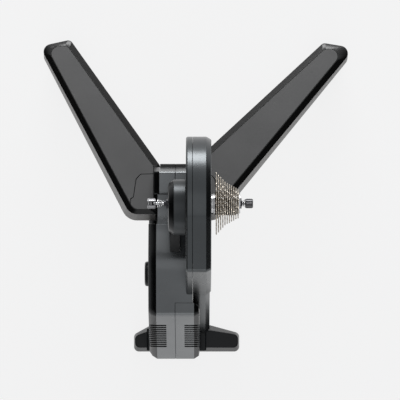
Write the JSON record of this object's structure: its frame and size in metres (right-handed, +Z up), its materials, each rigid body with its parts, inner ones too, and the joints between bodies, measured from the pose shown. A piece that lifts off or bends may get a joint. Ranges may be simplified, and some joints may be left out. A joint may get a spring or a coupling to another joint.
{
  "type": "direct drive bike trainer",
  "caption": "Direct drive indoor bike trainer with folding front legs, a round flywheel housing, a sprocket cassette and a quick release axle.",
  "frame": {"origin": "middle of the whole trainer's base, on the floor, with the legs open", "axes": "+Z up, +Y forward along the bike, +X to the bike's drive side"},
  "size_m": [0.55, 0.5752, 0.445],
  "materials": {
    "shell": "fine grain",
    "leg": "satin",
    "panel": "satin",
    "casting": "cast",
    "flywheel": "machined",
    "steel": "brushed",
    "dark_steel": "satin",
    "cogs": "nickel plated",
    "winding": "enamelled copper",
    "rubber": "matt",
    "black_plastic": "fine grain",
    "board": "solder mask"
  },
  "bodies": {
    "base": {"main_frame": "casting", "left_shell": "shell", "right_shell": "shell", "hub_cap": "shell", "axle_spindle": "steel", "stator_core": "steel", "stator_winding": "winding", "stator_carrier": "casting", "end_cap_left": "dark_steel", "end_cap_right": "dark_steel", "rear_foot": "black_plastic", "foot_pad_left": "rubber", "foot_pad_right": "rubber", "hinge_pin_left": "steel", "hinge_pin_right": "steel", "circuit_board": "board", "power_inlet_bezel": "black_plastic", "power_socket": "black_plastic"},
    "leg_left": {"leg_frame_left": "leg", "hinge_cover_left": "panel", "leg_panel_left": "panel", "leg_foot_left": "rubber"},
    "leg_right": {"leg_frame_right": "leg", "hinge_cover_right": "panel", "leg_panel_right": "panel", "leg_foot_right": "rubber"},
    "flywheel": {"flywheel_rotor": "flywheel", "magnet_ring": "dark_steel", "bearing_left": "dark_steel", "bearing_right": "dark_steel", "drive_flange": "steel"},
    "cassette": {"freehub_body": "steel", "cog_25t": "cogs", "cog_23t": "cogs", "cog_21t": "cogs", "cog_19t": "cogs", "cog_17t": "cogs", "cog_16t": "cogs", "cog_15t": "cogs", "cog_14t": "cogs", "cog_13t": "cogs", "cog_12t": "cogs", "cog_11t": "cogs", "cassette_lockring": "steel"},
    "skewer": {"skewer_rod": "steel", "skewer_head": "steel", "cam_pin": "steel", "skewer_washer": "steel", "spring_left": "steel", "spring_right": "steel"},
    "lever": {"quick_release_lever": "dark_steel"},
    "nut": {"quick_release_nut": "dark_steel"},
    "detent_left": {"hinge_detent_left": "steel"},
    "detent_right": {"hinge_detent_right": "steel"}
  },
  "joints": [
    {"name": "left_leg_fold", "type": "hinge", "parent": "base", "child": "leg_left", "pos_m": [-0.08669, 0.01241, 0.11], "axis": [0, 0, 1], "range_deg": [-30, 0]},
    {"name": "right_leg_fold", "type": "hinge", "parent": "base", "child": "leg_right", "pos_m": [0.01531, 0.01241, 0.11], "axis": [0, 0, 1], "range_deg": [0, 41]},
    {"name": "cassette_spin", "type": "hinge", "parent": "base", "child": "cassette", "pos_m": [0, -0.00759, 0.33], "axis": [1, 0, 0], "continuous": true},
    {"name": "flywheel_spin", "type": "hinge", "parent": "base", "child": "flywheel", "pos_m": [0, -0.00759, 0.33], "axis": [1, 0, 0], "continuous": true},
    {"name": "skewer_turn", "type": "hinge", "parent": "base", "child": "skewer", "pos_m": [0, -0.00759, 0.33], "axis": [1, 0, 0], "continuous": true},
    {"name": "lever_throw", "type": "hinge", "parent": "skewer", "child": "lever", "pos_m": [-0.07629, -0.00759, 0.33], "axis": [0, 1, 0], "range_deg": [0, 180]},
    {"name": "nut_turn", "type": "hinge", "parent": "skewer", "child": "nut", "pos_m": [0.092, -0.00759, 0.33], "axis": [1, 0, 0], "continuous": true},
    {"name": "left_detent_press", "type": "slide", "parent": "base", "child": "detent_left", "axis": [0, 0, 1], "range_m": [-0.0015, 0], "stiffness_N_per_m": 1500},
    {"name": "right_detent_press", "type": "slide", "parent": "base", "child": "detent_right", "axis": [0, 0, 1], "range_m": [-0.0015, 0], "stiffness_N_per_m": 1500}
  ],
  "couplings": [
    {"joint": "flywheel_spin", "follows": "cassette_spin", "ratio": 1}
  ]
}
